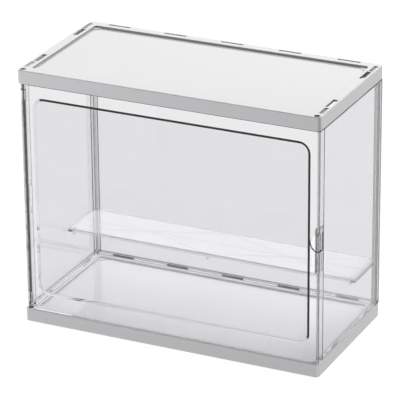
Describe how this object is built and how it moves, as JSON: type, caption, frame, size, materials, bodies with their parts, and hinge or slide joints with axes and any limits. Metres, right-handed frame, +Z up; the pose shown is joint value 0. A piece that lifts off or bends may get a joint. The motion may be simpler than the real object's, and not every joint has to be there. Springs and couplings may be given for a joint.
{
  "type": "shoe box",
  "caption": "Clear shoe display box with grey base and top frames, a side-hinged clear door and a half-depth step shelf that lifts out.",
  "frame": {"origin": "centre of the footprint, on the surface that the box stands on", "axes": "+X to the right of someone facing the door, +Y towards the back panel, +Z up"},
  "size_m": [0.37, 0.182, 0.311],
  "materials": {
    "grey_frame": "satin light grey moulded plastic, opaque",
    "clear_panel": "clear polished moulded plastic",
    "clear_door": "clear polished moulded plastic with a raised field inside",
    "clear_shelf": "clear polished moulded plastic, slightly milky",
    "clear_catch": "clear moulded plastic, a little smoky",
    "clear_pin": "clear moulded plastic"
  },
  "bodies": {
    "case": {"lower_frame": "grey_frame", "upper_frame": "grey_frame", "left_panel": "clear_panel", "right_panel": "clear_panel", "back_panel": "clear_panel", "door_catch": "clear_catch", "lower_hinge_pin": "clear_pin", "upper_hinge_pin": "clear_pin"},
    "door": {"door": "clear_door"},
    "step_shelf": {"shelf": "clear_shelf"}
  },
  "joints": [
    {"name": "door_hinge", "type": "hinge", "parent": "case", "child": "door", "pos_m": [-0.1794, -0.0863, 0.1555], "axis": [0, 0, -1], "range_deg": [0, 210]},
    {"name": "shelf_lift", "type": "slide", "parent": "case", "child": "step_shelf", "axis": [0, 0, 1], "range_m": [0, 0.2]}
  ]
}
